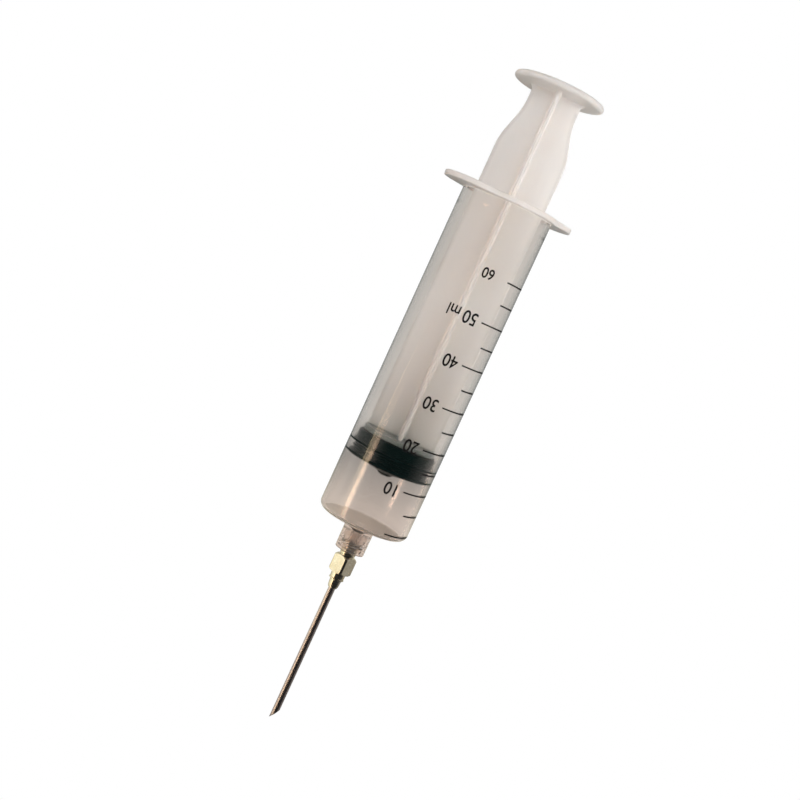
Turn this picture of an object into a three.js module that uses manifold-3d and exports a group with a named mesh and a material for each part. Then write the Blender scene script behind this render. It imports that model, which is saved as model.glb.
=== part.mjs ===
import * as THREE from "three";
import { mergeVertices } from "three/addons/utils/BufferGeometryUtils.js";
import Module from "manifold-3d";

// Millimetres. The axis of the injector lies along X, with the needle towards -X
// and the thumb disc towards +X. The wings of the flange lie along Y.

// Overall
const AXIS_HEIGHT = 16.4;
const SIDES = 48;

// Barrel
const BARREL_RADIUS = 15.75;
const BORE_RADIUS = 14.5;
const SHOULDER_X = -41.8;
const SHOULDER_ROUND = 2.6;
const END_SLOPE = 0.185;
const FLOOR_X = -40.5;
const BEAD_X = 69.5;
const BEAD_HEIGHT = 0.35;
const TUBE_END_X = 76.1;

// Finger flange
const FLANGE_FRONT_X = 74.1;
const FLANGE_THICKNESS = 1.8;
const FLANGE_EDGE = 0.35;
const WING_REACH = 24.9;
const WING_HALF_DEPTH = 13.2;
const WING_POWER = 2.35;
const RIM_RADIUS = 17.2;

// Luer-lock collar and nozzle
const COLLAR_MOUTH_X = -51.9;
const COLLAR_OUTER_RADIUS = 5.1;
const COLLAR_ROOT_RADIUS = 4.0;
const COLLAR_CREST_RADIUS = 3.5;
const COLLAR_FLOOR_X = -44.9;
const THREAD_LEAD = 5;
const THREAD_TURN = 247.5;
const THREAD_MIDDLE_X = -49.2;
const NOZZLE_TIP_X = -53.9;
const NOZZLE_TIP_RADIUS = 1.985;
const LUER_TAPER = 0.03;
const NOZZLE_BORE_RADIUS = 1.1;

// Stopper
const STOPPER_REAR_X = -12.0;
const READING_X = -20.45;
const RIB_RADIUS = 14.45;
const BAND_RADIUS = 13.75;
const GROOVE_RADIUS = 13.3;
const RIB_SPACING = 4.5;
const NUB_RADIUS = 3;
const NUB_HEIGHT = 1.1;
const POCKET_CLEARANCE = 0.12;

// Plunger rod
const DISC_OUTER_X = 115.2;
const DISC_THICKNESS = 2.2;
const DISC_RADIUS = 15.8;
const CROSS_TURN = 32;
const FIN_THICKNESS = 1.7;
const FIN_NARROW = 8.6;
const FIN_WIDE = 12.1;
const FLARE_START_X = 107.7;
const FLARE_END_X = 90.7;
const HEAD_REAR_X = -10.2;
const HEAD_FRONT_X = -11.85;
const HEAD_RADIUS = 12.7;
const KNOB_NECK_RADIUS = 4.5;
const KNOB_RADIUS = 7;
const KNOB_REAR_X = -13.9;
const KNOB_FRONT_X = -16.6;
const KNOB_NOSE_X = -18.2;

// Needle hub
const HUB_REAR_X = -48.4;
const HUB_NECK_RADIUS = 2.72;
const SOCKET_CLEARANCE = 0.06;
const SOCKET_END_X = -54.8;
const LUG_RADIUS = 3.85;
const LUG_THICKNESS = 0.9;
const LUG_ANGLE = 45;
const LUG_START = 150;
const BLOCK_REAR_X = -53.8;
const BLOCK_FRONT_X = -60.6;
const BLOCK_ACROSS_FLATS = 6.1;
const BLOCK_TURNED_RADIUS = 4.05;
const BLOCK_TURN = 21;
const HUB_SIDES = 32;
const FERRULE_REAR_X = -62.6;
const FERRULE_END_X = -65.8;

// Needle tube
const TUBE_OUTER_RADIUS = 1.2;
const TUBE_BORE_RADIUS = 0.9;
const TUBE_REAR_X = -56.7;
const TUBE_CLEARANCE = 0.06;
const BEVEL_HEEL_X = -111.4;
const BEVEL_TURN = 58;
const TIP_X = -115.2;

const wasm = await Module();
wasm.setup();

const degrees = THREE.MathUtils.degToRad;

// A closed solid ready for booleans.
function solid(geometry) {
  geometry.deleteAttribute("normal");
  geometry.deleteAttribute("uv");
  const merged = mergeVertices(geometry, 1e-4);
  const mesh = new wasm.Mesh({
    numProp: 3,
    vertProperties: new Float32Array(merged.attributes.position.array),
    triVerts: new Uint32Array(merged.index.array),
  });
  return new wasm.Manifold(mesh);
}

// A solid turned about the X axis from [x, radius] points that run towards +X on the outside.
function turned(points, sides = SIDES) {
  const profile = points.map(([x, radius]) => new THREE.Vector2(radius, x));
  return solid(new THREE.LatheGeometry(profile, sides).rotateZ(-Math.PI / 2));
}

// A ring turned about the X axis: the same, closed back to its first point.
function turnedRing(points, sides = SIDES) {
  return turned([...points, points[0]], sides);
}

// [x, radius] points of a quarter-round between two directions, centred on (x, radius).
function arc(x, radius, size, fromAngle, toAngle, steps) {
  const points = [];
  for (let step = 0; step <= steps; step += 1) {
    const angle = degrees(fromAngle + ((toAngle - fromAngle) * step) / steps);
    points.push([x + size * Math.cos(angle), radius + size * Math.sin(angle)]);
  }
  return points;
}

// A [y, z] outline extruded along X from one face to the other, with small edge bevels.
function plateAcrossX(outline, fromX, toX, bevel, turn = 0) {
  const shape = new THREE.Shape(outline.map(([y, z]) => new THREE.Vector2(y, z)));
  const geometry = new THREE.ExtrudeGeometry(shape, {
    depth: toX - fromX - 2 * bevel,
    bevelEnabled: bevel > 0,
    bevelThickness: bevel,
    bevelSize: bevel,
    bevelOffset: -bevel,
    bevelSegments: 2,
  });
  const layDown = new THREE.Matrix4().set(0, 0, 1, fromX + bevel, 1, 0, 0, 0, 0, 1, 0, 0, 0, 0, 0, 1);
  return solid(geometry.applyMatrix4(layDown).rotateX(degrees(turn)));
}

// An [x, z] outline extruded along Y, centred on the X-Z plane, then turned about X.
function plateAlongX(outline, thickness, turn) {
  const shape = new THREE.Shape(outline.map(([x, z]) => new THREE.Vector2(x, z)));
  const geometry = new THREE.ExtrudeGeometry(shape, { depth: thickness, bevelEnabled: false });
  const standUp = new THREE.Matrix4().set(1, 0, 0, 0, 0, 0, -1, thickness / 2, 0, 1, 0, 0, 0, 0, 0, 1);
  return solid(geometry.applyMatrix4(standUp).rotateX(degrees(turn)));
}

// A right-handed helical bar about X: section corners are [x offset, radius], in turning order.
function helicalBar(section, middleX, middleAngle, spanAngle, steps) {
  const positions = [];
  const indices = [];
  const corners = section.length;
  for (let step = 0; step <= steps; step += 1) {
    const turn = (spanAngle * step) / steps - spanAngle / 2;
    const angle = degrees(middleAngle + turn);
    const x = middleX + (THREAD_LEAD * turn) / 360;
    for (const [offset, radius] of section) {
      positions.push(x + offset, radius * Math.cos(angle), radius * Math.sin(angle));
    }
  }
  for (let step = 0; step < steps; step += 1) {
    for (let corner = 0; corner < corners; corner += 1) {
      const a = step * corners + corner;
      const b = step * corners + ((corner + 1) % corners);
      indices.push(a, b + corners, b, a, a + corners, b + corners);
    }
  }
  const last = steps * corners;
  for (let corner = 1; corner < corners - 1; corner += 1) {
    indices.push(0, corner, corner + 1);
    indices.push(last, last + corner + 1, last + corner);
  }
  const geometry = new THREE.BufferGeometry();
  geometry.setAttribute("position", new THREE.Float32BufferAttribute(positions, 3));
  geometry.setIndex(indices);
  return solid(geometry);
}

// Outline of the flange: two rounded wings joined to a round rim with flats above and below.
function flangeOutline(count) {
  const points = [];
  for (let index = 0; index < count; index += 1) {
    const angle = (2 * Math.PI * (index + 0.5)) / count;
    const across = Math.abs(Math.cos(angle));
    const up = Math.abs(Math.sin(angle));
    const wing = ((across / WING_REACH) ** WING_POWER + (up / WING_HALF_DEPTH) ** WING_POWER) ** (-1 / WING_POWER);
    const rim = Math.min(RIM_RADIUS, AXIS_HEIGHT / up);
    const radius = Math.max(wing, rim);
    points.push([radius * Math.cos(angle), radius * Math.sin(angle)]);
  }
  return points;
}

// Outline of a square with half-size h.
function square(h) {
  return [[-h, -h], [h, -h], [h, h], [-h, h]];
}

// Height of the cone inside the barrel's end, and of the cone on the stopper, at a radius.
function coneRise(radius) {
  return END_SLOPE * (BORE_RADIUS - 0.4 - radius);
}

// Radius of the nozzle's taper at x.
function nozzleRadius(x) {
  return NOZZLE_TIP_RADIUS + LUER_TAPER * (x - NOZZLE_TIP_X);
}

// Radial half-width of the plunger's fins at x.
function finHalfWidth(x) {
  const t = THREE.MathUtils.smoothstep(x, FLARE_END_X, FLARE_START_X);
  return FIN_WIDE + (FIN_NARROW - FIN_WIDE) * t;
}

// Barrel: tube, finger flange, end wall, nozzle and threaded collar in one moulding.
function makeBarrel() {
  const shoulderRadius = BARREL_RADIUS - SHOULDER_ROUND;
  const collarStartX = SHOULDER_X - END_SLOPE * (shoulderRadius - COLLAR_OUTER_RADIUS);
  const tube = turnedRing([
    [COLLAR_MOUTH_X, COLLAR_OUTER_RADIUS - 0.35],
    [COLLAR_MOUTH_X + 0.3, COLLAR_OUTER_RADIUS - 0.05],
    [collarStartX - 0.4, COLLAR_OUTER_RADIUS],
    [collarStartX - 0.05, COLLAR_OUTER_RADIUS + 0.4],
    ...arc(SHOULDER_X + SHOULDER_ROUND, shoulderRadius, SHOULDER_ROUND, 172, 90, 5),
    [TUBE_END_X, BARREL_RADIUS],
    [TUBE_END_X, BORE_RADIUS + 0.5],
    [TUBE_END_X - 0.5, BORE_RADIUS],
    [BEAD_X + 1.2, BORE_RADIUS],
    [BEAD_X + 0.4, BORE_RADIUS - BEAD_HEIGHT],
    [BEAD_X - 0.4, BORE_RADIUS - BEAD_HEIGHT],
    [BEAD_X - 1.2, BORE_RADIUS],
    [FLOOR_X + 0.4, BORE_RADIUS],
    [FLOOR_X, BORE_RADIUS - 0.4],
    [FLOOR_X - coneRise(3.5), 3.5],
    [FLOOR_X - coneRise(3.5) - 0.6, 3.2],
    [COLLAR_FLOOR_X + 0.2, NOZZLE_BORE_RADIUS],
    [NOZZLE_TIP_X, NOZZLE_BORE_RADIUS],
    [NOZZLE_TIP_X, NOZZLE_TIP_RADIUS - 0.2],
    [NOZZLE_TIP_X + 0.2, nozzleRadius(NOZZLE_TIP_X + 0.2)],
    [COLLAR_FLOOR_X, nozzleRadius(COLLAR_FLOOR_X)],
    [COLLAR_FLOOR_X, COLLAR_ROOT_RADIUS],
    [COLLAR_MOUTH_X + 0.3, COLLAR_ROOT_RADIUS],
    [COLLAR_MOUTH_X, COLLAR_ROOT_RADIUS + 0.25],
  ]);
  const rearX = FLANGE_FRONT_X + FLANGE_THICKNESS;
  const flange = plateAcrossX(flangeOutline(96), FLANGE_FRONT_X, rearX, FLANGE_EDGE);
  const hollow = turned([
    [FLANGE_FRONT_X - 1, 0],
    [FLANGE_FRONT_X - 1, BORE_RADIUS + 0.7],
    [rearX + 1, BORE_RADIUS + 0.7],
    [rearX + 1, 0],
  ]);
  const ribSection = [
    [-0.35, COLLAR_CREST_RADIUS],
    [-0.6, COLLAR_ROOT_RADIUS + 0.15],
    [0.6, COLLAR_ROOT_RADIUS + 0.15],
    [0.35, COLLAR_CREST_RADIUS],
  ];
  let barrel = flange.subtract(hollow).add(tube);
  for (const angle of [90, 270]) {
    barrel = barrel.add(helicalBar(ribSection, THREAD_MIDDLE_X, LUG_START + angle, THREAD_TURN, 33));
  }
  return barrel;
}

// Stopper: rubber plug with two sealing ribs, a conical nose and a pocket for the rod's knob.
function makeStopper() {
  const gap = POCKET_CLEARANCE;
  const rearRibX = READING_X + RIB_SPACING;
  const coneX = READING_X - 0.3;
  const nubX = coneX - coneRise(NUB_RADIUS);
  const nub = [];
  for (let step = 0; step <= 3; step += 1) {
    const angle = degrees(24 * step);
    nub.push([nubX - NUB_HEIGHT * Math.sin(angle), NUB_RADIUS * Math.cos(angle)]);
  }
  nub.push([nubX - NUB_HEIGHT, 0]);
  return turned([
    ...nub.reverse(),
    [coneX, BORE_RADIUS - 0.4],
    [READING_X, RIB_RADIUS - 0.1],
    [READING_X + 0.15, RIB_RADIUS],
    [READING_X + 0.8, RIB_RADIUS],
    [READING_X + 1.2, GROOVE_RADIUS],
    [READING_X + 2.2, GROOVE_RADIUS],
    [READING_X + 2.4, GROOVE_RADIUS + 0.45],
    [READING_X + 2.6, GROOVE_RADIUS + 0.45],
    [READING_X + 2.8, GROOVE_RADIUS],
    [rearRibX - 0.75, GROOVE_RADIUS],
    [rearRibX - 0.4, RIB_RADIUS],
    [rearRibX + 0.3, RIB_RADIUS],
    [rearRibX + 0.65, BAND_RADIUS],
    ...arc(STOPPER_REAR_X - 0.9, BAND_RADIUS - 0.9, 0.9, 90, 0, 3),
    [STOPPER_REAR_X, KNOB_NECK_RADIUS + gap + 0.3],
    [STOPPER_REAR_X - 0.3, KNOB_NECK_RADIUS + gap],
    [KNOB_REAR_X + gap, KNOB_NECK_RADIUS + gap],
    [KNOB_REAR_X + gap, KNOB_RADIUS + gap],
    [KNOB_FRONT_X - gap, KNOB_RADIUS + gap],
    [KNOB_NOSE_X - gap, 4 + gap],
    [KNOB_NOSE_X - gap, 0],
  ]);
}

// Plunger rod: thumb disc, four fins and the headed knob that snaps into the stopper.
function makePlungerRod() {
  const innerX = DISC_OUTER_X - DISC_THICKNESS;
  const disc = turned([
    [innerX, 0],
    [innerX, DISC_RADIUS - 1.4],
    ...arc(innerX + DISC_THICKNESS / 2, DISC_RADIUS - 0.9, 0.9, 160, 20, 6),
    [DISC_OUTER_X, DISC_RADIUS - 1.4],
    [DISC_OUTER_X, 0],
  ]);
  const head = turned([
    [KNOB_NOSE_X, 0],
    [KNOB_NOSE_X, 4],
    [KNOB_FRONT_X, KNOB_RADIUS],
    [KNOB_REAR_X, KNOB_RADIUS],
    [KNOB_REAR_X, KNOB_NECK_RADIUS],
    [HEAD_FRONT_X, KNOB_NECK_RADIUS],
    [HEAD_FRONT_X, HEAD_RADIUS - 0.2],
    [HEAD_FRONT_X + 0.2, HEAD_RADIUS],
    [HEAD_REAR_X - 0.2, HEAD_RADIUS],
    [HEAD_REAR_X, HEAD_RADIUS - 0.2],
    [HEAD_REAR_X, 0],
  ]);
  const upper = [[HEAD_REAR_X - 0.4, FIN_WIDE]];
  for (let step = 0; step <= 10; step += 1) {
    const x = FLARE_END_X + ((FLARE_START_X - FLARE_END_X) * step) / 10;
    upper.push([x, finHalfWidth(x)]);
  }
  upper.push([innerX + 0.4, FIN_NARROW]);
  const lower = upper.map(([x, halfWidth]) => [x, -halfWidth]);
  const outline = [...lower, ...upper.reverse()];
  let rod = disc.add(head);
  for (const angle of [-CROSS_TURN, 90 - CROSS_TURN]) {
    rod = rod.add(plateAlongX(outline, FIN_THICKNESS, angle));
  }
  return rod;
}

// Needle hub: luer socket with two lugs, square finger block and ferrule.
function makeNeedleHub() {
  const neck = HUB_NECK_RADIUS;
  const body = turned([
    [FERRULE_END_X, 0],
    [FERRULE_END_X, TUBE_OUTER_RADIUS + 0.2],
    [FERRULE_END_X + 0.15, TUBE_OUTER_RADIUS + 0.4],
    [FERRULE_END_X + 0.7, TUBE_OUTER_RADIUS + 0.55],
    [FERRULE_REAR_X - 0.1, TUBE_OUTER_RADIUS + 0.75],
    [FERRULE_REAR_X, neck - 0.4],
    [FERRULE_REAR_X + 0.15, neck - 0.15],
    [FERRULE_REAR_X + 0.45, neck - 0.15],
    [FERRULE_REAR_X + 0.6, neck - 0.35],
    [BLOCK_FRONT_X, neck - 0.25],
    [BLOCK_REAR_X - 0.3, neck - 0.25],
    [BLOCK_REAR_X + 0.5, neck - 0.25],
    [BLOCK_REAR_X + 0.6, neck],
    [BLOCK_REAR_X + 1.2, neck],
    [BLOCK_REAR_X + 1.3, neck - 0.27],
    [BLOCK_REAR_X + 1.8, neck - 0.27],
    [BLOCK_REAR_X + 1.9, neck],
    [BLOCK_REAR_X + 2.6, neck],
    [BLOCK_REAR_X + 2.7, neck - 0.27],
    [BLOCK_REAR_X + 3.2, neck - 0.27],
    [BLOCK_REAR_X + 3.3, neck],
    [HUB_REAR_X - 0.15, neck],
    [HUB_REAR_X, neck - 0.15],
    [HUB_REAR_X, 0],
  ], HUB_SIDES);
  const squareOutline = square(BLOCK_ACROSS_FLATS / 2);
  const blockSquare = plateAcrossX(squareOutline, BLOCK_FRONT_X - 1, BLOCK_REAR_X + 1, 0, BLOCK_TURN);
  const blockTurned = turned([
    [BLOCK_FRONT_X, 0],
    [BLOCK_FRONT_X, BLOCK_TURNED_RADIUS - 0.85],
    [BLOCK_FRONT_X + 0.7, BLOCK_TURNED_RADIUS],
    [BLOCK_REAR_X - 0.7, BLOCK_TURNED_RADIUS],
    [BLOCK_REAR_X, BLOCK_TURNED_RADIUS - 0.75],
    [BLOCK_REAR_X, 0],
  ]);
  const passage = turned([
    [FERRULE_END_X - 1, 0],
    [FERRULE_END_X - 1, TUBE_OUTER_RADIUS + TUBE_CLEARANCE],
    [TUBE_REAR_X + 0.2, TUBE_OUTER_RADIUS + TUBE_CLEARANCE],
    [TUBE_REAR_X + 0.2, TUBE_BORE_RADIUS],
    [TUBE_REAR_X + 0.9, TUBE_BORE_RADIUS],
    [SOCKET_END_X, nozzleRadius(SOCKET_END_X) + SOCKET_CLEARANCE],
    [HUB_REAR_X + 1, nozzleRadius(HUB_REAR_X + 1) + SOCKET_CLEARANCE],
    [HUB_REAR_X + 1, 0],
  ], HUB_SIDES);
  const lugSection = [
    [-LUG_THICKNESS / 2, 2.5],
    [-LUG_THICKNESS / 2, LUG_RADIUS],
    [LUG_THICKNESS / 2, LUG_RADIUS],
    [LUG_THICKNESS / 2, 2.5],
  ];
  let hub = body.add(blockSquare.intersect(blockTurned));
  for (const angle of [0, 180]) {
    hub = hub.add(helicalBar(lugSection, THREAD_MIDDLE_X, LUG_START + angle, LUG_ANGLE, 4));
  }
  return hub.subtract(passage);
}

// Needle tube: plain cannula with one slanted cut at the point.
function makeNeedleTube() {
  const tube = turnedRing([
    [TIP_X - 1, TUBE_BORE_RADIUS],
    [TIP_X - 1, TUBE_OUTER_RADIUS],
    [TUBE_REAR_X, TUBE_OUTER_RADIUS],
    [TUBE_REAR_X, TUBE_BORE_RADIUS],
  ], HUB_SIDES);
  const run = BEVEL_HEEL_X - TIP_X;
  const cutter = plateAlongX([
    [TIP_X - run, -3 * TUBE_OUTER_RADIUS],
    [BEVEL_HEEL_X + run, 3 * TUBE_OUTER_RADIUS],
    [TIP_X - 2 * run, 3 * TUBE_OUTER_RADIUS],
  ], 8 * TUBE_OUTER_RADIUS, BEVEL_TURN);
  return tube.subtract(cutter);
}

// A named mesh with its own material, lifted to the height of the axis.
function piece(name, manifold, material) {
  const mesh = manifold.getMesh();
  const geometry = new THREE.BufferGeometry();
  geometry.setAttribute("position", new THREE.BufferAttribute(new Float32Array(mesh.vertProperties), 3));
  geometry.setIndex(new THREE.BufferAttribute(new Uint32Array(mesh.triVerts), 1));
  geometry.translate(0, 0, AXIS_HEIGHT);
  geometry.computeVertexNormals();
  const object = new THREE.Mesh(geometry, new THREE.MeshStandardMaterial(material));
  object.name = name;
  return object;
}

const clearPlastic = { color: 0xd8d4cc, roughness: 0.3, transparent: true, opacity: 0.4 };
const milkyPlastic = { color: 0xe2dad2, roughness: 0.4, transparent: true, opacity: 0.8 };
const blackRubber = { color: 0x101416, roughness: 0.5 };
const platedMetal = { color: 0xc9c4b6, roughness: 0.25, metalness: 1 };
const steel = { color: 0xb8b4ae, roughness: 0.3, metalness: 1 };

const injector = new THREE.Group();
injector.name = "meat_injector";
injector.add(piece("barrel", makeBarrel(), clearPlastic));
injector.add(piece("plunger_rod", makePlungerRod(), milkyPlastic));
injector.add(piece("stopper", makeStopper(), blackRubber));
injector.add(piece("needle_hub", makeNeedleHub(), platedMetal));
injector.add(piece("needle_tube", makeNeedleTube(), steel));

export default injector;
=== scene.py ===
import math

import bmesh
import bpy
from mathutils import Matrix, Vector


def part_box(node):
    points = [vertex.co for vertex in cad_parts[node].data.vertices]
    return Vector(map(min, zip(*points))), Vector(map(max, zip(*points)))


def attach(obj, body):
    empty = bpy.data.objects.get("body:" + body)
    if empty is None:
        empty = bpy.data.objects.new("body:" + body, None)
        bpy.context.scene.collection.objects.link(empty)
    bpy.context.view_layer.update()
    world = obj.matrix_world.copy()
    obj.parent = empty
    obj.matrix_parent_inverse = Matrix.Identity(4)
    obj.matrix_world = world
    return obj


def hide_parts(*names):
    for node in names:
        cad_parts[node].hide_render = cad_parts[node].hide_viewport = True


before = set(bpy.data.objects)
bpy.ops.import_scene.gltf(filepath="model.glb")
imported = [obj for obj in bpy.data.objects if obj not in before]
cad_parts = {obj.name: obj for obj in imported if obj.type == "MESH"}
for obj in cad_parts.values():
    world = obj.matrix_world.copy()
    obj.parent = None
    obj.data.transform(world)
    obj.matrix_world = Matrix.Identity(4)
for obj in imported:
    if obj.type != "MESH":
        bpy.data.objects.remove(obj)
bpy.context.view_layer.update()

# ---------------------------------------------------------------- sizes, in millimetres
# The axis lies along X at AXIS_HEIGHT over the floor; the needle points to -X.
MM = 0.001
AXIS_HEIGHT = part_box("barrel")[1].z / MM / 2
BARREL_SEGMENTS = 256
OTHER_SEGMENTS = 192  # round the stopper, the plunger's head and disc, and the hub
LONGEST_STEP = 6

BARREL_RADIUS = 15.75
BORE_RADIUS = 14.5
END_SLOPE = 0.185  # of the shoulder, the floor and the stopper's face: X per mm of radius
SHOULDER_X = -41.8
SHOULDER_ROUND = 2.6
SHOULDER_EDGE = 13.15  # the radius at which the rounding starts
FLOOR_X = -40.5
BEAD_HEIGHT = 0.08

FLANGE_FRONT_X, FLANGE_REAR_X = 74.1, 75.9
BARREL_END_X = 76.1
FLANGE_EDGE_ROUND = 0.4
FLANGE_RIM = 17.2
WING_REACH, WING_HALF_WIDTH, WING_POWER = 24.9, 13.2, 2.35

COLLAR_END_X = -51.9
COLLAR_BORE = 4.0
NOZZLE_TIP_X, NOZZLE_BORE = -53.9, 1.1
THREAD_FROM_X, THREAD_TO_X = -45.4, -51.7
THREAD_MIDDLE_X = -49.2
THREAD_LEAD = 5.0
THREAD_DEPTH = 0.5
LUG_START = 150.0
LUG_RADIUS = 3.85

SEAL_RADIUS = 14.53
STOPPER_LAND, STOPPER_GROOVE = 13.75, 13.3
STOPPER_REAR_X, STOPPER_FACE_X = -12.0, -20.75

CROSS_TURN = 32.0
FIN_WIDTH, FIN_FLARE = 8.6, 3.5
FLARE_FROM_X, FLARE_TO_X = 90.7, 107.7
FIN_THICKNESS = 1.7
FIN_EDGE_SHARE = 0.62  # of the thickness, left at a fin's edge
FIN_EDGE_ROUND = 0.45
FIN_ROOT_X = 111.4
DISC_INNER_X, DISC_FACE_X = 113.0, 115.2
DISC_GROOVE_X = 115.02

HUB_NECK = 2.72
BLOCK_HALF_WIDTH, BLOCK_TURN, BLOCK_POWER = 3.05, 21, 90
NEEDLE_TIP_X, NEEDLE_HEEL_X = -115.2, -111.4
NEEDLE_OUTER, NEEDLE_INNER = 1.2, 0.9

TEN_ML = 15.04
SIXTY_X = 50.7
INK_LOW, INK_HIGH = 0.004, 0.03
LINE_WIDTH = 0.5
GLYPH_BOLDER = 0.08
GLYPH_NARROW = 0.86


# ---------------------------------------------------------------- mesh helpers
def smoothstep(low, high, value):
    t = min(max((value - low) / (high - low), 0.0), 1.0)
    return t * t * (3 - 2 * t)


def place(x, radius, angle):
    """A point at x along the axis and radius from it, turned from +Y towards +Z, in metres."""
    return Vector((
        x * MM,
        radius * math.cos(angle) * MM,
        (AXIS_HEIGHT + radius * math.sin(angle)) * MM,
    ))


def quarter(steps):
    """The sines and cosines of a quarter circle, for a rounded edge."""
    angles = [math.radians(90 * step / steps) for step in range(steps + 1)]
    return [(math.sin(angle), math.cos(angle)) for angle in angles]


def rounded(corners, steps=4):
    """A profile with its corners rounded: corners are (x, radius, how much is cut back)."""
    out = []
    for index, (x, y, cut) in enumerate(corners):
        here = Vector((x, y))
        if cut <= 0 or index in (0, len(corners) - 1):
            out.append((x, y))
            continue
        before = Vector(corners[index - 1][:2])
        after = Vector(corners[index + 1][:2])
        first = here + (before - here).normalized() * min(cut, (before - here).length * 0.49)
        last = here + (after - here).normalized() * min(cut, (after - here).length * 0.49)
        for step in range(steps + 1):
            t = step / steps
            point = first * (1 - t) ** 2 + here * 2 * t * (1 - t) + last * t**2
            out.append((point.x, point.y))
    return out


def split_long(profile, longest):
    """The profile with extra points so that no step is longer than longest."""
    out = [profile[0]]
    for (x0, r0), (x1, r1) in zip(profile, profile[1:]):
        parts = max(1, math.ceil(math.hypot(x1 - x0, r1 - r0) / longest))
        for part in range(1, parts + 1):
            t = part / parts
            out.append((x0 + (x1 - x0) * t, r0 + (r1 - r0) * t))
    return out


def shade(mesh, sharp_degrees=32):
    mesh.polygons.foreach_set("use_smooth", [True] * len(mesh.polygons))
    mesh.set_sharp_from_angle(angle=math.radians(sharp_degrees))


def new_object(name, bm, sharp_degrees=32):
    bmesh.ops.recalc_face_normals(bm, faces=bm.faces[:])
    mesh = bpy.data.meshes.new(name)
    bm.to_mesh(mesh)
    bm.free()
    shade(mesh, sharp_degrees)
    obj = bpy.data.objects.new(name, mesh)
    bpy.context.scene.collection.objects.link(obj)
    return obj


def turned(name, rings, segments=BARREL_SEGMENTS, closed=True, sharp_degrees=32):
    """A solid of rings about the axis. A ring is (x, radius), or a function of the angle that
    gives both. A closed solid joins its last ring to its first; any other starts and ends on
    the axis."""
    bm = bmesh.new()
    rows = []
    for ring in rings:
        row = []
        for index in range(segments):
            angle = 2 * math.pi * index / segments
            x, radius = ring(angle) if callable(ring) else ring
            row.append(bm.verts.new(place(x, radius, angle)))
            if not callable(ring) and radius == 0:
                break
        rows.append(row)
    pairs = list(zip(rows, rows[1:]))
    if closed:
        pairs.append((rows[-1], rows[0]))
    for row, following in pairs:
        for index in range(segments):
            other = (index + 1) % segments
            if len(row) == 1:
                bm.faces.new((row[0], following[other], following[index]))
            elif len(following) == 1:
                bm.faces.new((row[index], row[other], following[0]))
            else:
                bm.faces.new((row[index], row[other], following[other], following[index]))
    return new_object(name, bm, sharp_degrees)


def joined(obj, *others):
    """obj united with the others, which go."""
    for other in others:
        union = obj.modifiers.new("union", "BOOLEAN")
        union.operation = "UNION"
        union.solver = "EXACT"
        union.object = other
    graph = bpy.context.evaluated_depsgraph_get()
    mesh = bpy.data.meshes.new_from_object(obj.evaluated_get(graph))
    obj.modifiers.clear()
    obj.data = mesh
    shade(mesh)
    for other in others:
        bpy.data.objects.remove(other)
    return obj


# ---------------------------------------------------------------- barrel
def flange_radius(angle, inset=0.0):
    """The flange's outline: two rounded wings joined to a rim with flats above and below."""
    across, up = abs(math.cos(angle)), abs(math.sin(angle))
    wing = ((across / WING_REACH) ** WING_POWER
            + (up / WING_HALF_WIDTH) ** WING_POWER) ** (-1 / WING_POWER)
    rim = min(FLANGE_RIM, AXIS_HEIGHT / max(up, 1e-6))
    return max(wing, rim) - inset


def wrapped(degrees):
    return (degrees + 180) % 360 - 180


def off_thread(x, angle, middle):
    """How far x is from a thread that passes middle degrees at THREAD_MIDDLE_X, and how far
    round from there this angle is."""
    turn = wrapped(math.degrees(angle) - middle)
    return abs(x - (THREAD_MIDDLE_X + THREAD_LEAD * turn / 360)), abs(turn)


def rib_height(x, angle):
    """How much of a full thread rib stands on the collar's inner wall at this place, 0 to 1."""
    height = 0.0
    for middle in (LUG_START + 90, LUG_START + 270):
        away, turn = off_thread(x, angle, middle)
        bar = 1 - smoothstep(0.28, 0.6, away)
        height = max(height, bar * smoothstep(0, 9, 123.7 - turn))
    return height


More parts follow.
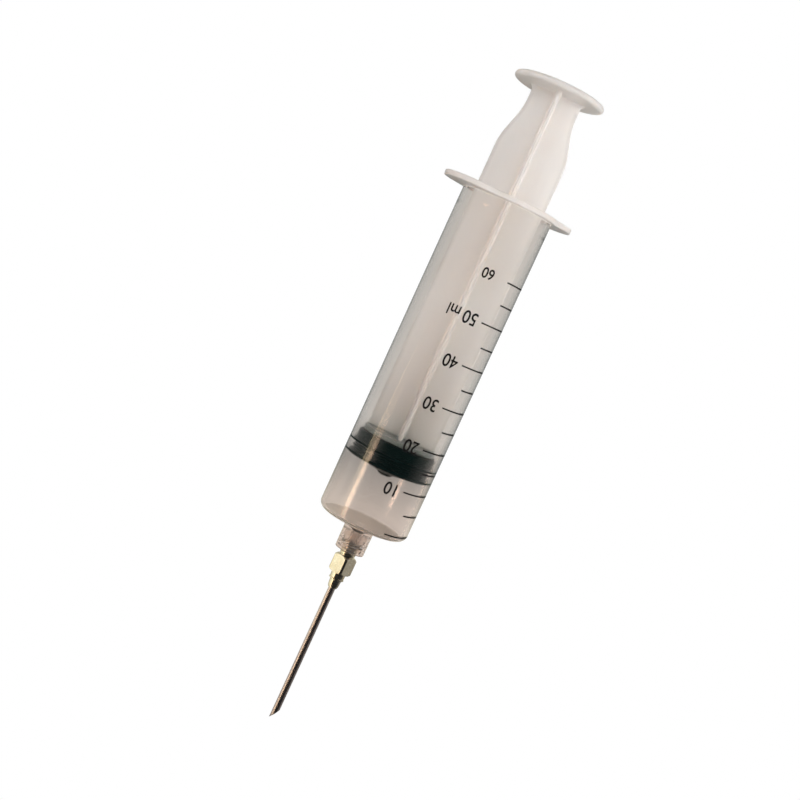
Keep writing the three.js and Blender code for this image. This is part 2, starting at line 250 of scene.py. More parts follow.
def make_barrel():
    # The collar's outside, the shoulder and the tube's outside.
    cone_x = SHOULDER_X - END_SLOPE * (SHOULDER_EDGE - 5.1)
    rings = rounded([
        (COLLAR_END_X, 4.45, 0),
        (COLLAR_END_X, 5.05, 0.28),
        (cone_x, 5.14, 0.5),
        (SHOULDER_X, SHOULDER_EDGE, 0),
    ])
    for step in range(1, 13):
        angle = math.radians(172 - 82 * step / 12)
        rings.append((
            SHOULDER_X + SHOULDER_ROUND + SHOULDER_ROUND * math.cos(angle),
            SHOULDER_EDGE + SHOULDER_ROUND * math.sin(angle),
        ))
    tube_end = (FLANGE_FRONT_X - 0.8, BARREL_RADIUS)
    rings += split_long([rings[-1], tube_end], LONGEST_STEP)[1:]

    # The fillet under the flange, then the flange's two edges.
    for sine, cosine in quarter(4):
        rings.append((FLANGE_FRONT_X - 0.6 * (1 - sine), BARREL_RADIUS + 0.35 * (1 - cosine)))
    edge = FLANGE_EDGE_ROUND
    for sine, cosine in quarter(5):
        rings.append(lambda a, s=sine, c=cosine: (
            FLANGE_FRONT_X + edge * (1 - c), flange_radius(a, edge * (1 - s))))
    for sine, cosine in quarter(5):
        rings.append(lambda a, s=sine, c=cosine: (
            FLANGE_REAR_X - edge * (1 - s), flange_radius(a, edge * (1 - c))))

    # The mouth, the snap bead, the bore and the floor.
    rings += rounded([
        (FLANGE_REAR_X, 15.85, 0),
        (BARREL_END_X, 15.6, 0.12),
        (BARREL_END_X, 15.1, 0.12),
        (75.5, BORE_RADIUS, 0.3),
        (70.7, BORE_RADIUS, 0.4),
        (69.9, BORE_RADIUS - BEAD_HEIGHT, 0.3),
        (69.1, BORE_RADIUS - BEAD_HEIGHT, 0.3),
        (68.3, BORE_RADIUS, 0.4),
        (60.0, BORE_RADIUS, 0),
    ])
    bore_end = (FLOOR_X + 1.5, BORE_RADIUS)
    rings += split_long([(60.0, BORE_RADIUS), bore_end], LONGEST_STEP)[1:]
    centre_x = FLOOR_X - END_SLOPE * (BORE_RADIUS - 0.4 - 3.5)
    rings += rounded([
        (FLOOR_X + 1.0, BORE_RADIUS, 0),
        (FLOOR_X + 0.02, BORE_RADIUS - 0.05, 0.5),
        (centre_x, 3.5, 0.2),
        (centre_x - 0.6, 3.2, 0.2),
        (-44.7, NOZZLE_BORE, 0.4),
        (NOZZLE_TIP_X, NOZZLE_BORE, 0.1),
        (NOZZLE_TIP_X, 1.95, 0.2),
        (-44.9, 2.255, 0.3),
        (-44.9, COLLAR_BORE, 0.3),
        (THREAD_FROM_X, COLLAR_BORE, 0),
    ])

    # The collar's inside, with its thread.
    steps = 80
    for step in range(1, steps):
        x = THREAD_FROM_X + (THREAD_TO_X - THREAD_FROM_X) * step / steps
        rings.append(lambda a, x=x: (x, COLLAR_BORE - THREAD_DEPTH * rib_height(x, a)))
    rings += [(-51.72, 4.02), (-51.88, 4.2)]
    return turned("barrel_moulding", rings)


# ---------------------------------------------------------------- stopper
def make_stopper():
    nub_x = STOPPER_FACE_X - END_SLOPE * (14.1 - 3)
    return turned("stopper_rubber", rounded([
        # The pocket for the plunger's knob.
        (-18.32, 0, 0),
        (-18.32, 4.1, 0),
        (-16.72, 7.12, 0),
        (-13.78, 7.12, 0),
        (-13.78, 4.62, 0),
        (-12.3, 4.62, 0),
        # The rear, the two sealing ribs with a faint rib between them, and the face.
        (STOPPER_REAR_X, 4.95, 0.15),
        (STOPPER_REAR_X, STOPPER_GROOVE, 0.7),
        (-12.6, STOPPER_LAND, 0.5),
        (-15.3, STOPPER_LAND, 0.2),
        (-15.65, SEAL_RADIUS, 0.18),
        (-16.35, SEAL_RADIUS, 0.18),
        (-16.75, STOPPER_GROOVE, 0.35),
        (-17.65, STOPPER_GROOVE, 0.15),
        (-17.85, STOPPER_LAND, 0.12),
        (-18.05, STOPPER_LAND, 0.12),
        (-18.25, STOPPER_GROOVE, 0.15),
        (-19.25, STOPPER_GROOVE, 0.35),
        (-19.65, SEAL_RADIUS, 0.18),
        (-20.3, SEAL_RADIUS, 0.15),
        (STOPPER_FACE_X, 14.1, 0.2),
        (nub_x, 3, 0.5),
        (nub_x - 0.75, 2.3, 0.6),
        (nub_x - 1.1, 1.2, 0.5),
        (nub_x - 1.1, 0, 0),
    ]), OTHER_SEGMENTS, closed=False)


# ---------------------------------------------------------------- plunger rod
def root_swell(x):
    """How far the fins have thickened towards the disc: 0 before FIN_ROOT_X, 1 at the disc."""
    return max(0.0, (x - FIN_ROOT_X) / 1.6) ** 2


def fin_half_width(x):
    flare = FIN_WIDTH + FIN_FLARE * (1 - smoothstep(FLARE_FROM_X, FLARE_TO_X, x))
    return flare + 1.3 * root_swell(x)


def cross_outline(half_width, thickness, fillet):
    """The four-finned section, as points in the Y-Z plane about the axis."""
    half = thickness / 2
    edge_half = FIN_EDGE_SHARE * half
    tip = FIN_EDGE_ROUND
    points = []
    for fin in range(4):
        turn = math.radians(90 - CROSS_TURN + 90 * fin)
        local = []
        for step in range(5):
            angle = math.radians(180 - 90 * step / 4)
            local.append((
                half + fillet + fillet * math.cos(angle),
                -half - fillet + fillet * math.sin(angle),
            ))
        for centre, start in ((-edge_half + tip, -90), (edge_half - tip, 0)):
            for step in range(4):
                angle = math.radians(start + 90 * step / 3)
                local.append((
                    half_width - tip + tip * math.cos(angle),
                    centre + tip * math.sin(angle),
                ))
        for p, q in local:
            points.append((
                p * math.cos(turn) - q * math.sin(turn),
                p * math.sin(turn) + q * math.cos(turn),
            ))
    return points


def make_fins():
    bm = bmesh.new()
    stations = [-10.6] + [-8 + 98 * step / 16 for step in range(17)]
    stations += [FLARE_FROM_X + 17 * step / 24 for step in range(1, 25)]
    stations += [109.5, FIN_ROOT_X, 111.8, 112.2, 112.6, 113.0, 113.4]
    rows = []
    for x in stations:
        swell = root_swell(x)
        outline = cross_outline(
            fin_half_width(x), FIN_THICKNESS + 0.8 * swell, 0.7 + 0.5 * swell)
        rows.append([
            bm.verts.new((x * MM, y * MM, (AXIS_HEIGHT + z) * MM)) for y, z in outline])
    for row, following in zip(rows, rows[1:]):
        for index in range(len(row)):
            other = (index + 1) % len(row)
            bm.faces.new((row[index], row[other], following[other], following[index]))
    bm.faces.new(rows[0])
    bm.faces.new(rows[-1])
    return new_object("plunger_moulding", bm)


def make_rod():
    fins = make_fins()
    corners = [
        (DISC_INNER_X, 0, 0),
        (DISC_INNER_X, 14.6, 0.8),
        (113.35, 15.5, 0.45),
        (114.1, 15.8, 0.5),
        (114.85, 15.5, 0.45),
        (DISC_FACE_X, 14.6, 0.6),
        (DISC_FACE_X, 13.9, 0.25),
    ]
    for outer in (13.6, 10.2, 6.8):
        corners += [
            (DISC_GROOVE_X, outer, 0.2),
            (DISC_GROOVE_X, outer - 2.2, 0.2),
            (DISC_FACE_X, outer - 2.5, 0.2),
            (DISC_FACE_X, outer - 3.1, 0.2),
        ]
    corners += [(115.0, 3.4, 0.2), (115.0, 0, 0)]
    disc = turned("disc", rounded(corners), OTHER_SEGMENTS, closed=False)
    head = turned("head", rounded([
        (-18.2, 0, 0),
        (-18.2, 4, 0.4),
        (-16.6, 7, 0.3),
        (-13.9, 7, 0.2),
        (-13.9, 4.5, 0),
        (-11.85, 4.5, 0),
        (-11.85, 12.7, 0.2),
        (-10.2, 12.7, 0.25),
        (-10.2, 0, 0),
    ]), OTHER_SEGMENTS, closed=False)
    return joined(fins, disc, head)


# ---------------------------------------------------------------- needle hub
def lug_height(x, angle):
    """How much of a full lug stands on the hub's neck at this place, 0 to 1."""
    height = 0.0
    for middle in (LUG_START, LUG_START + 180):
        away, turn = off_thread(x, angle, middle)
        bar = 1 - smoothstep(0.36, 0.5, away)
        height = max(height, bar * smoothstep(0, 3, 22.5 - turn))
    return height


def block_radius(angle, limit):
    """The square block's radius at an angle, its corners turned down to limit."""
    turn = angle - math.radians(BLOCK_TURN)
    across, up = abs(math.cos(turn)), abs(math.sin(turn))
    square = (across ** BLOCK_POWER + up ** BLOCK_POWER) ** (-1 / BLOCK_POWER)
    return min(BLOCK_HALF_WIDTH * square, limit)


def make_hub():
    neck = HUB_NECK
    lugs_from_x, lugs_to_x, steps = -48.46, -50.3, 34
    rings = rounded([(-48.4, 2.4, 0), (-48.4, neck - 0.14, 0), (lugs_from_x, neck, 0)])
    for step in range(1, steps):
        x = lugs_from_x + (lugs_to_x - lugs_from_x) * step / steps
        rings.append(lambda a, x=x: (x, neck + (LUG_RADIUS - neck) * lug_height(x, a)))
    # The ringed neck.
    rings += rounded([
        (lugs_to_x, neck, 0),
        (-50.5, neck, 0.08),
        (-50.6, neck - 0.27, 0.08),
        (-51.1, neck - 0.27, 0.08),
        (-51.2, neck, 0.08),
        (-51.9, neck, 0.08),
        (-52.0, neck - 0.27, 0.08),
        (-52.5, neck - 0.27, 0.08),
        (-52.6, neck, 0.08),
        (-53.2, neck, 0.08),
        (-53.3, neck - 0.25, 0.08),
        (-53.8, neck - 0.25, 0),
    ])
    # The square block; its radii here are where the corners are turned down to.
    block = rounded([
        (-53.8, 3.0, 0),
        (-53.95, 3.3, 0.1),
        (-54.45, 3.9, 0.25),
        (-59.6, 3.9, 0.25),
        (-60.1, 3.3, 0.1),
        (-60.15, 2.8, 0),
    ])
    for x, limit in split_long(block, 0.5):
        rings.append(lambda a, x=x, limit=limit: (x, block_radius(a, limit)))
    # The lower neck and the ferrule.
    rings += rounded([
        (-60.15, neck - 0.2, 0),
        (-62.0, neck - 0.33, 0.05),
        (-62.08, neck - 0.15, 0.06),
        (-62.42, neck - 0.15, 0.06),
        (-62.6, neck - 0.4, 0.06),
        (-62.66, 1.98, 0.05),
        (-64.0, 1.92, 0.4),
        (-65.1, 1.76, 0.4),
        (-65.7, 1.5, 0.2),
        (-65.8, 1.27, 0),
    ])
    # The needle's bore and the tapered socket.
    rings += [
        (-65.6, 1.26),
        (-56.5, 1.26),
        (-56.5, 0.9),
        (-55.8, 0.9),
        (-54.8, 2.018),
        (-48.5, 2.207),
        (-48.4, 2.3),
    ]
    return turned("needle_hub_metal", rings, OTHER_SEGMENTS)


# ---------------------------------------------------------------- needle tube
def cut_end(radius):
    """The ring where the slanting cut ends a wall of this radius, with a lancet point."""
    cut_side = math.radians(148)

    def ring(angle):
        reach = radius * math.cos(angle - cut_side)
        aside = abs(radius * math.sin(angle - cut_side))
        share = (reach + NEEDLE_OUTER) / (2 * NEEDLE_OUTER)
        main = NEEDLE_TIP_X + (NEEDLE_HEEL_X - NEEDLE_TIP_X) * share
        lancet = NEEDLE_TIP_X + 1.55 * aside
        return (max(main, lancet if main < NEEDLE_TIP_X + 1.6 else main), radius)

    return ring


def make_tube():
    rings = [(-56.7, NEEDLE_OUTER - 0.05)]
    rings += [(x, NEEDLE_OUTER) for x in (-56.75, -60, -70, -80, -90, -100, -108, -111)]
    rings += [cut_end(NEEDLE_OUTER), cut_end(NEEDLE_INNER)]
    rings += [(x, NEEDLE_INNER) for x in (-111, -108, -100, -80, -57)]
    rings += [(-56.7, NEEDLE_INNER + 0.05)]
    return turned("needle_tube_steel", rings, 96, sharp_degrees=40)


# ---------------------------------------------------------------- printed scale
def scale_radius(x):
    """The barrel's outer radius at x, on the tube or on the rounding of the shoulder."""
    along = SHOULDER_X + SHOULDER_ROUND - x
    if along <= 0:
        return BARREL_RADIUS
    return SHOULDER_EDGE + math.sqrt(max(SHOULDER_ROUND**2 - along**2, 0))


def line(bm, x, start, end):
    """One line across the barrel, from start to end in degrees from the top towards -Y."""
    steps = 24
    half = LINE_WIDTH / 2
    section = ((-half, INK_LOW), (half, INK_LOW), (half, INK_HIGH), (-half, INK_HIGH))
    rows = []
    for step in range(steps + 1):
        angle = math.radians(90 + start + (end - start) * step / steps)
        rows.append([
            bm.verts.new(place(x + dx, scale_radius(x + dx) + lift, angle))
            for dx, lift in section])
    for row, following in zip(rows, rows[1:]):
        for side in range(4):
            other = (side + 1) % 4
            bm.faces.new((row[side], row[other], following[other], following[side]))
    bm.faces.new([rows[0][index] for index in (0, 3, 2, 1)])
    bm.faces.new(rows[-1])


def lettering(name, text, size, x, degrees):
    """Lettering that reads around the barrel, centred at x and degrees from the top."""
    curve = bpy.data.curves.new("label", "FONT")
    curve.body = text
    curve.size = size
    curve.align_x, curve.align_y = "CENTER", "CENTER"
    curve.extrude = (INK_HIGH - INK_LOW) / 2
    curve.resolution_u = 6
    flat = bpy.data.objects.new("label", curve)
    bpy.context.scene.collection.objects.link(flat)
    graph = bpy.context.evaluated_depsgraph_get()
    mesh = bpy.data.meshes.new_from_object(flat.evaluated_get(graph))
    bpy.data.objects.remove(flat)
    bm = bmesh.new()
    bm.from_mesh(mesh)
    bmesh.ops.remove_doubles(bm, verts=bm.verts[:], dist=0.0005)
    bm.normal_update()
    for vert in bm.verts:
        vert.co.xy += vert.normal.xy.normalized() * GLYPH_BOLDER
    # Short edges, so that the letters can follow the barrel round.
    bmesh.ops.triangulate(bm, faces=bm.faces[:])
    for _ in range(3):
        long_edges = [edge for edge in bm.edges if edge.calc_length() > 0.7]
        if not long_edges:
            break
        bmesh.ops.subdivide_edges(bm, edges=long_edges, cuts=1)
        bmesh.ops.triangulate(bm, faces=[face for face in bm.faces if len(face.verts) > 3])
    for vert in bm.verts:
        across, up = vert.co.x * GLYPH_NARROW, vert.co.y
        lift = vert.co.z + (INK_HIGH + INK_LOW) / 2
        angle = math.radians(90 + degrees) - across / BARREL_RADIUS
        vert.co = place(x - up, scale_radius(x - up) + lift, angle)
    bmesh.ops.reverse_faces(bm, faces=bm.faces[:])
    return new_object(name, bm)


def make_scale():
    bm = bmesh.new()
    for fives in range(13):
        x = SIXTY_X - TEN_ML * (12 - fives) / 2
        if fives % 2:
            line(bm, x, 14, 53)
        else:
            line(bm, x, 9 if fives == 12 else -1, 58)
    pieces = [new_object("scale_lines", bm)]
    for tens in range(1, 7):
        x = SIXTY_X - TEN_ML * (6 - tens) + 0.08 * tens - 0.33
        size, degrees = (4.9, -19) if tens == 6 else (6.0, -16.5)
        text = str(tens * 10)
        pieces.append(lettering("scale_" + text + "_ml", text, size, x, degrees))
    pieces.append(lettering("scale_unit", "ml", 5.4, SIXTY_X - TEN_ML + 0.3, -38))
    return pieces


# ---------------------------------------------------------------- node helpers
class Graph:
    """The nodes of a material or a world. A method adds a node and gives its output; what it
    is given may be another node's output, a number or a colour."""

    def __init__(self, tree):
        self.nodes, self.links = tree.nodes, tree.links

    def put(self, socket, value):
        if isinstance(value, bpy.types.NodeSocket):
            self.links.new(value, socket)
        elif isinstance(value, tuple):
            socket.default_value = (*value, 1)
        else:
            socket.default_value = value

    def split(self, vector):
        """The outputs X, Y and Z of a vector."""
        node = self.nodes.new("ShaderNodeSeparateXYZ")
        self.links.new(vector, node.inputs["Vector"])
        return node.outputs

    def noise(self, scale, detail=4.0, stretch=(1, 1, 1)):
        """A noise in the object's own space, in metres, stretched along each axis."""
        where = self.nodes.new("ShaderNodeTexCoord")
        mapping = self.nodes.new("ShaderNodeMapping")
        mapping.inputs["Scale"].default_value = stretch
        texture = self.nodes.new("ShaderNodeTexNoise")
        texture.inputs["Scale"].default_value = scale
        texture.inputs["Detail"].default_value = detail
        texture.inputs["Roughness"].default_value = 0.55
        self.links.new(where.outputs["Object"], mapping.inputs["Vector"])
        self.links.new(mapping.outputs["Vector"], texture.inputs["Vector"])
        return texture.outputs["Fac"]

    def ramp(self, source, stops):
        """source sent through a colour ramp of stops: a position with a colour or a grey."""
        node = self.nodes.new("ShaderNodeValToRGB")
        while len(node.color_ramp.elements) < len(stops):
            node.color_ramp.elements.new(0.5)
        for element, (position, colour) in zip(node.color_ramp.elements, stops):
            element.position = position
            element.color = (*colour, 1) if isinstance(colour, tuple) else (*[colour] * 3, 1)
        self.links.new(source, node.inputs["Fac"])
        return node.outputs["Color"]

    def between(self, source, low, high, at_low=0.0, at_high=1.0, smooth=False):
        """source mapped so that low gives at_low and high gives at_high."""
        node = self.nodes.new("ShaderNodeMapRange")
        if smooth:
            node.interpolation_type = "SMOOTHSTEP"
        node.inputs["From Min"].default_value = low
        node.inputs["From Max"].default_value = high
        node.inputs["To Min"].default_value = at_low
        node.inputs["To Max"].default_value = at_high
        self.links.new(source, node.inputs["Value"])
        return node.outputs["Result"]

    def math(self, operation, first, second):
        node = self.nodes.new("ShaderNodeMath")
        node.operation = operation
        self.put(node.inputs[0], first)
        self.put(node.inputs[1], second)
        return node.outputs[0]

    def blend(self, factor, first, second, blend_type="MIX"):
        """Two colours mixed, or multiplied."""
        node = self.nodes.new("ShaderNodeMix")
        node.data_type = "RGBA"
        node.blend_type = blend_type
        self.put(node.inputs["Factor"], factor)
        self.put(node.inputs["A"], first)
        self.put(node.inputs["B"], second)
        return node.outputs["Result"]

    def bump(self, source, strength, distance):
        node = self.nodes.new("ShaderNodeBump")
        node.inputs["Strength"].default_value = strength
        node.inputs["Distance"].default_value = distance
        self.links.new(source, node.inputs["Height"])
        return node.outputs["Normal"]

    def glow(self, colour):
        node = self.nodes.new("ShaderNodeEmission")
        self.put(node.inputs["Color"], colour)
        return node.outputs["Emission"]

    def sky(self, colour, strength=1.0):
        node = self.nodes.new("ShaderNodeBackground")
        self.put(node.inputs["Color"], colour)
        node.inputs["Strength"].default_value = strength
        return node.outputs["Background"]

    def either(self, factor, first, second):
        """Two shaders mixed: first where factor is 0, second where it's 1."""
        node = self.nodes.new("ShaderNodeMixShader")
        self.put(node.inputs["Fac"], factor)
        self.links.new(first, node.inputs[1])
        self.links.new(second, node.inputs[2])
        return node.outputs["Shader"]


def material(name):
    mat = bpy.data.materials.new(name)
    mat.use_nodes = True
    return mat, Graph(mat.node_tree), mat.node_tree.nodes["Principled BSDF"]


# ---------------------------------------------------------------- materials
PLASTIC_IOR = 1.49


def finish_look(graph, shader, colour, roughness, relief=None):
    """Feeds the shader's colour, roughness and, where there is one, its bump."""
    graph.links.new(colour, shader.inputs["Base Color"])
    graph.links.new(roughness, shader.inputs["Roughness"])
    if relief is not None:
        graph.links.new(relief, shader.inputs["Normal"])


def soft_shadow(graph, shader, tint):
    """Lets lamps shine through clear plastic with a tint, so that it casts a faint shadow."""
    lamp = graph.nodes.new("ShaderNodeBsdfTransparent")
    lamp.inputs["Color"].default_value = (*tint, 1)
    path = graph.nodes.new("ShaderNodeLightPath")
    surface = graph.either(
        path.outputs["Is Shadow Ray"], shader.outputs["BSDF"], lamp.outputs["BSDF"])
    graph.links.new(surface, graph.nodes["Material Output"].inputs["Surface"])


def clear_plastic():
    mat, graph, shader = material("clear_polypropylene")
    shader.inputs["Transmission Weight"].default_value = 1.0
    shader.inputs["IOR"].default_value = PLASTIC_IOR
    haze = graph.noise(90, 3, (0.35, 1, 1))
    fine = graph.noise(700, 4, (0.4, 1, 1))
    flow = graph.noise(60, 2, (0.12, 1, 1))
    finish_look(
        graph, shader,
        graph.ramp(haze, [(0.3, (0.95, 0.94, 0.925)), (0.7, (0.985, 0.98, 0.97))]),
        graph.ramp(fine, [(0.3, 0.06), (0.75, 0.14)]),
        graph.bump(flow, 0.12, 0.0006))
    soft_shadow(graph, shader, (0.98, 0.97, 0.96))
    return mat


def clouded_plastic(name, clearness, thin, thick, smooth, rough):
    """Thicker walls, where the plastic looks milkier. clearness is the share of the light that
    passes straight through; thin and thick are its colours, smooth and rough its finish."""
    mat, graph, shader = material(name)
    shader.inputs["Transmission Weight"].default_value = clearness
    shader.inputs["Subsurface Weight"].default_value = 0.4
    shader.inputs["Subsurface Radius"].default_value = (0.003, 0.0027, 0.0024)
    shader.inputs["Subsurface Scale"].default_value = 1.0
    shader.inputs["IOR"].default_value = PLASTIC_IOR
    haze = graph.noise(120, 4)
    fine = graph.noise(900, 4)
    finish_look(
        graph, shader,
        graph.ramp(haze, [(0.3, thin), (0.7, thick)]),
        graph.ramp(fine, [(0.3, smooth), (0.75, rough)]),
        graph.bump(haze, 0.08, 0.0001))
    soft_shadow(graph, shader, (0.85, 0.83, 0.8))
    return mat


def milky_plastic():
    """Translucent all through, with painted shade: its colour is darkened along X, strongly at
    the head against the black rubber and gently up to about 38 mm from the middle.
    """
    mat, graph, shader = material("milky_polypropylene")
    where = graph.nodes.new("ShaderNodeTexCoord")
    along = graph.split(where.outputs["Object"])["X"]
    # Painted shade along the rod, darkest at the head next to the stopper.
    painted_shade_along_rod = graph.ramp(graph.between(along, -0.012, 0.044), [
        (0.0, (0.22, 0.26, 0.26)),
        (0.034, (0.28, 0.32, 0.32)),
        (0.043, (0.62, 0.64, 0.635)),
        (0.3, (0.74, 0.745, 0.75)),
        (0.9, (1.0, 1.0, 1.0)),
    ])
    cloud = graph.ramp(graph.noise(70, 4, (0.3, 1, 1)), [
        (0.3, (0.80, 0.765, 0.74)), (0.7, (0.87, 0.84, 0.81))])

    # Painted shade: the colour is darkened by a fifth along the fins' outer edges, which the
    # lamps light more than the faces, but not next to the disc.
    section = graph.nodes.new("ShaderNodeMapping")
    section.inputs["Location"].default_value = (0, 0, -AXIS_HEIGHT * MM)
    section.inputs["Scale"].default_value = (0, 1, 1)
    graph.links.new(where.outputs["Object"], section.inputs["Vector"])
    radius = graph.nodes.new("ShaderNodeVectorMath")
    radius.operation = "LENGTH"
    graph.links.new(section.outputs["Vector"], radius.inputs[0])
    half_width = graph.between(
        along, FLARE_FROM_X * MM, FLARE_TO_X * MM,
        (FIN_WIDTH + FIN_FLARE) * MM, FIN_WIDTH * MM, smooth=True)
    inset = graph.math("SUBTRACT", half_width, radius.outputs["Value"])
    off_edge = graph.math(
        "MAXIMUM",
        graph.between(inset, 0.0, 0.0014),
        graph.between(along, 0.1085, 0.1105))
    edge = graph.ramp(off_edge, [(0.0, 0.80), (1.0, 1.0)])

    shader.inputs["Subsurface Weight"].default_value = 0.9
    shader.inputs["Subsurface Radius"].default_value = (0.006, 0.0055, 0.005)
    shader.inputs["Subsurface Scale"].default_value = 1.0
    shader.inputs["IOR"].default_value = PLASTIC_IOR
    fine = graph.noise(900, 4)
    finish_look(
        graph, shader,
        graph.blend(1.0, graph.blend(1.0, cloud, painted_shade_along_rod, "MULTIPLY"), edge, "MULTIPLY"),
        graph.ramp(fine, [(0.3, 0.34), (0.75, 0.48)]),
        graph.bump(fine, 0.12, 0.00012))
    return mat


def black_rubber():
    mat, graph, shader = material("black_rubber")
    shader.inputs["Specular IOR Level"].default_value = 0.12
    cloud = graph.noise(400, 4)
    fine = graph.noise(2500, 3)
    finish_look(
        graph, shader,
        graph.ramp(cloud, [(0.3, (0.0015, 0.006, 0.0058)), (0.75, (0.004, 0.011, 0.0105))]),
        graph.ramp(fine, [(0.3, 0.38), (0.75, 0.55)]),
        graph.bump(fine, 0.2, 0.00005))
    return mat


def plated_brass():
    mat, graph, shader = material("nickel_plated_brass")
    shader.inputs["Metallic"].default_value = 1.0
    wear = graph.noise(500, 5)
    lathe = graph.noise(2200, 3, (6, 0.15, 0.15))
    finish_look(
        graph, shader,
        graph.ramp(wear, [(0.3, (0.70, 0.64, 0.50)), (0.7, (0.84, 0.80, 0.70))]),
        graph.ramp(lathe, [(0.3, 0.14), (0.75, 0.3)]),
        graph.bump(lathe, 0.05, 0.00001))
    return mat


def drawn_steel():
    mat, graph, shader = material("drawn_stainless_steel")
    shader.inputs["Metallic"].default_value = 1.0
    tone = graph.noise(900, 4, (0.05, 1, 1))
    drawn = graph.noise(4000, 3, (0.02, 1, 1))
    finish_look(
        graph, shader,
        graph.ramp(tone, [(0.3, (0.56, 0.49, 0.48)), (0.7, (0.66, 0.59, 0.585))]),
        graph.ramp(drawn, [(0.3, 0.32), (0.75, 0.44)]),
        graph.bump(drawn, 0.15, 0.00001))
    return mat


def scale_ink():
    mat, graph, shader = material("scale_ink")
    shader.inputs["Specular IOR Level"].default_value = 0.1
    tone = graph.noise(1500, 3)
    finish_look(
        graph, shader,
        graph.ramp(tone, [(0.25, (0.004, 0.004, 0.005)), (0.8, (0.02, 0.018, 0.018))]),
        graph.ramp(tone, [(0.3, 0.45), (0.75, 0.65)]))
    return mat


# ---------------------------------------------------------------- the object
def dress(piece, mat, body, node=None):
    piece.data.materials.clear()
    piece.data.materials.append(mat)
    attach(piece, body)
    if node:
        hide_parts(node)


def dress_barrel():
    """The tube is clear; the flange, the collar and the shoulder are clouded."""
    barrel = make_barrel()
    dress(barrel, clear_plastic(), "barrel", "barrel")
    for name, clearness, thin, thick, smooth, rough in (
        ("flange_polypropylene", 0.12, (0.80, 0.765, 0.74), (0.86, 0.83, 0.80), 0.28, 0.36),
        ("collar_polypropylene", 0.93, (0.69, 0.63, 0.59), (0.77, 0.71, 0.67), 0.1, 0.16),
        ("shoulder_polypropylene", 0.6, (0.74, 0.67, 0.61), (0.82, 0.75, 0.69), 0.28, 0.36),
    ):
        barrel.data.materials.append(
            clouded_plastic(name, clearness, thin, thick, smooth, rough))
    flange, collar, shoulder = 1, 2, 3
    flange_from_x, shoulder_to_x, collar_reach = 73.7, -41.3, 6.2
    for face in barrel.data.polygons:
        x, y, z = face.center
        if x > flange_from_x * MM:
            face.material_index = flange
        elif x < shoulder_to_x * MM:
            radius = math.hypot(y, z - AXIS_HEIGHT * MM)
            face.material_index = shoulder if radius > collar_reach * MM else collar


dress_barrel()
dress(make_stopper(), black_rubber(), "stopper", "stopper")
dress(make_rod(), milky_plastic(), "plunger_rod", "plunger_rod")
dress(make_hub(), plated_brass(), "needle_hub", "needle_hub")
dress(make_tube(), drawn_steel(), "needle_tube", "needle_tube")
ink = scale_ink()
for mark in make_scale():
    dress(mark, ink, "barrel")


# ---------------------------------------------------------------- floor
def make_floor():
    """White to the camera. Gloss and clear walls see a glowing floor painted with light and
    shade that change along X and Y, and matt surfaces see a plain one."""
    bm = bmesh.new()
    bmesh.ops.create_grid(bm, x_segments=8, y_segments=8, size=4)
    floor = new_object("floor", bm)
    floor.location.z = -0.0002
    mat, graph, shader = material("floor")
    shader.inputs["Base Color"].default_value = (0.6, 0.57, 0.54, 1)
    shader.inputs["Roughness"].default_value = 0.9
    shader.inputs["Specular IOR Level"].default_value = 0.0
    where = graph.nodes.new("ShaderNodeNewGeometry")
    position = graph.split(where.outputs["Position"])
    x, y = position["X"], position["Y"]

    # What gloss sees, all painted glow: black beside the needle on the -Y side. Elsewhere a
    # painted tone that is bright beside the needle and dark beside the barrel, and a strip of
    # painted light where the window would light the floor.
    toned = graph.math(
        "MAXIMUM", graph.between(y, -0.02, 0.03), graph.between(x, -0.09, -0.03))
    tone = graph.ramp(graph.between(x, -0.15, -0.02), [
        (0.0, (0.55, 0.49, 0.41)),
        (0.42, (1.0, 0.92, 0.78)),
        (0.55, (1.22, 1.15, 0.90)),
        (0.7, (1.22, 1.15, 0.90)),
        (1.0, (0.14, 0.17, 0.165)),
    ])
    painted_glow_strip = graph.math(
        "MULTIPLY",
        graph.between(y, 0.17, 0.24),
        graph.ramp(graph.between(x, 0.0, -0.1), [
            (0.16, 0.0), (0.27, 0.3), (0.4, 1.0), (0.57, 1.0), (0.68, 0.25)]))
    gloss = graph.blend(
        painted_glow_strip, graph.blend(toned, (0.04, 0.04, 0.04), tone), (6.0, 4.6, 2.9))

    # What is seen through the clear walls: a glow along X with painted shade, darkest under the
    # front of the barrel.
    through = graph.ramp(graph.between(x, -0.06, 0.0), [
        (0.1, (0.98, 0.85, 0.76)),
        (0.3, (0.66, 0.56, 0.50)),
        (0.6, (0.35, 0.32, 0.30)),
        (0.85, (0.60, 0.57, 0.54)),
    ])
    path = graph.nodes.new("ShaderNodeLightPath")
    surface = shader.outputs["BSDF"]
    for ray, colour in (
        ("Is Glossy Ray", gloss),
        ("Is Transmission Ray", through),
        ("Is Camera Ray", (1, 1, 1)),
    ):
        surface = graph.either(path.outputs[ray], surface, graph.glow(colour))
    graph.links.new(surface, graph.nodes["Material Output"].inputs["Surface"])
    floor.data.materials.append(mat)


make_floor()


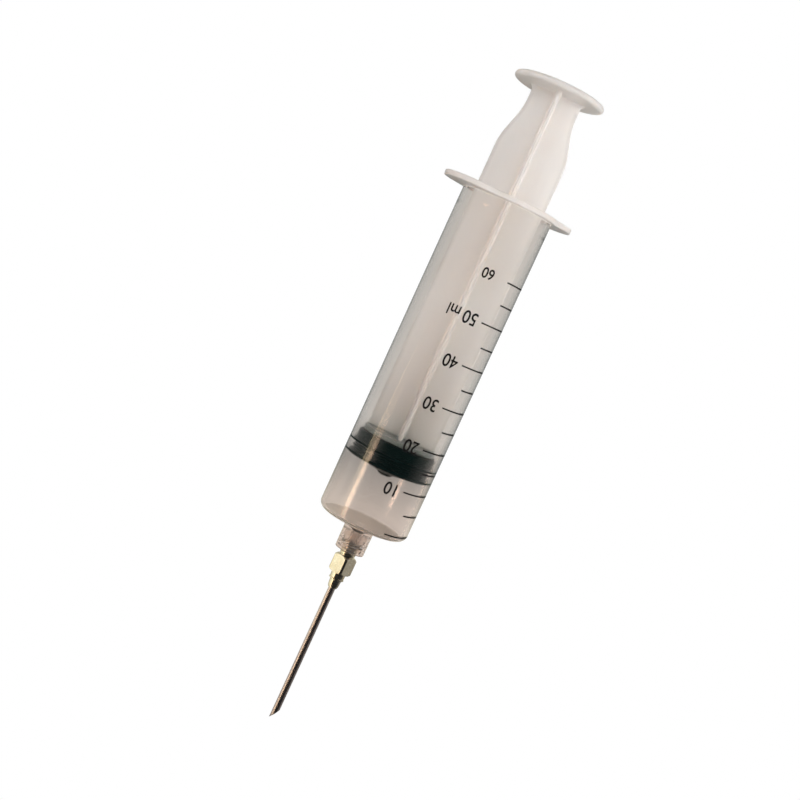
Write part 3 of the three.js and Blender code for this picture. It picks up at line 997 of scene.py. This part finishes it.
# ---------------------------------------------------------------- camera
def make_camera():
    """Looks down at the barrel from the +Y side, with the needle at the bottom left."""
    side = math.radians(32)  # of the axis, from straight above towards +Y
    distance = 0.4455
    abreast_x = 0.03647
    tilt = math.radians(4.53)  # towards the needle
    aside = math.radians(0.70)
    lean = math.radians(24.6)  # of the object in the picture

    toward = Vector((0, math.sin(side), math.cos(side)))
    right = Vector((0, -toward.z, toward.y))
    needle = Vector((-1, 0, 0))
    eye = Vector((abreast_x, 0, AXIS_HEIGHT * MM)) + toward * distance
    forward = -toward * math.cos(tilt) + needle * math.sin(tilt)
    forward = (forward - right * math.tan(aside)).normalized()
    down = (needle - forward * needle.dot(forward)).normalized()
    across = down.cross(forward)
    screen_right = -down * math.sin(lean) + across * math.cos(lean)
    screen_up = -(down * math.cos(lean) + across * math.sin(lean))

    data = bpy.data.cameras.new("camera")
    data.lens = 60.6
    data.sensor_width = 36
    data.clip_start = 0.01
    data.clip_end = 50
    camera = bpy.data.objects.new("camera", data)
    bpy.context.scene.collection.objects.link(camera)
    turn = Matrix((screen_right, screen_up, -forward)).transposed()
    camera.matrix_world = Matrix.Translation(eye) @ turn.to_4x4()
    bpy.context.scene.camera = camera


make_camera()


# ---------------------------------------------------------------- light
def make_world():
    """White to the camera, and dim all round for matt surfaces. Gloss and clear walls see a
    dark room with a low warm window towards +Y."""
    world = bpy.data.worlds.new("studio")
    bpy.context.scene.world = world
    world.use_nodes = True
    graph = Graph(world.node_tree)
    where = graph.nodes.new("ShaderNodeTexCoord")
    direction = graph.split(where.outputs["Generated"])

    # From the +Y horizon (0) over the top (0.5) to the -Y horizon (1).
    over = graph.between(graph.math("ARCTAN2", direction["Z"], direction["Y"]), 0, math.pi)
    height = graph.ramp(over, [(0.0, 1.0), (0.05, 1.0), (0.078, 0.0)])
    length = graph.ramp(graph.between(direction["X"], 0.05, -0.35), [
        (0.0, 0.0), (0.29, 0.02), (0.405, 0.22), (0.445, 0.9), (0.48, 1.0), (0.57, 1.0),
        (0.64, 0.35)])
    window = graph.math("MULTIPLY", height, length)

    # What gloss sees: one room in directions towards the needle, another in the rest, and the
    # window in both.
    needle_room = graph.ramp(over, [
        (0.0, (0.35, 0.33, 0.30)),
        (0.12, (0.03, 0.03, 0.03)),
        (0.62, (0.02, 0.021, 0.022)),
        (0.86, (0.05, 0.05, 0.05)),
        (0.9, (0.34, 0.32, 0.27)),
        (1.0, (0.34, 0.32, 0.27)),
    ])
    barrel_room = graph.ramp(over, [(0.6, (0.02, 0.02, 0.02)), (0.78, (0.5, 0.47, 0.44))])
    to_barrel = graph.between(direction["X"], -0.2, -0.16)
    gloss = graph.either(to_barrel, graph.sky(needle_room), graph.sky(barrel_room))
    gloss = graph.either(window, gloss, graph.sky((1.0, 0.76, 0.48), 8.0))

    # What is seen through the clear walls.
    clear = graph.ramp(
        direction["Z"], [(0.3, (0.6, 0.56, 0.52)), (0.5, (0.02, 0.02, 0.02))])
    through = graph.either(window, graph.sky(clear), graph.sky((1.0, 0.68, 0.5), 9.0))

    path = graph.nodes.new("ShaderNodeLightPath")
    surface = graph.sky((0.06, 0.058, 0.056))
    surface = graph.either(path.outputs["Is Glossy Ray"], surface, gloss)
    surface = graph.either(path.outputs["Is Transmission Ray"], surface, through)
    surface = graph.either(path.outputs["Is Camera Ray"], surface, graph.sky((1.0, 1.0, 1.0)))
    graph.links.new(surface, graph.nodes["World Output"].inputs["Surface"])


def make_lamp(name, place_at, aim_at, size, power, colour):
    """A lamp that lights matt surfaces only and isn't seen."""
    data = bpy.data.lights.new(name, "AREA")
    data.shape = "SQUARE"
    data.size = size
    data.energy = power
    data.color = colour
    lamp = bpy.data.objects.new(name, data)
    lamp.location = place_at
    aim = Vector(aim_at) - Vector(place_at)
    lamp.rotation_euler = aim.to_track_quat("-Z", "Y").to_euler()
    lamp.visible_glossy = False
    lamp.visible_transmission = False
    lamp.visible_camera = False
    data.cycles.use_multiple_importance_sampling = False
    bpy.context.scene.collection.objects.link(lamp)


MIDDLE = (0.03, 0, 0)
make_world()
make_lamp("ceiling", (0.1, 0.0, 1.8), (0, 0, 0), 3.0, 10, (1.0, 0.98, 0.965))
make_lamp("front", (0.12, 0.45, 0.7), MIDDLE, 0.5, 1.3, (1.0, 0.96, 0.93))
make_lamp("side", (0.2, 0.75, 0.25), MIDDLE, 0.7, 3.3, (1.0, 0.945, 0.91))
make_lamp("right", (0.12, -0.35, 0.75), MIDDLE, 0.5, 2.45, (1.0, 0.955, 0.92))
make_lamp("far_side", (0.1, -0.75, 0.35), MIDDLE, 0.7, 4.0, (1.0, 0.96, 0.92))
make_lamp("needle_side", (-0.45, 0.1, 0.55), MIDDLE, 0.5, 0.8, (1.0, 0.98, 0.965))
bpy.context.scene.view_settings.view_transform = "Standard"
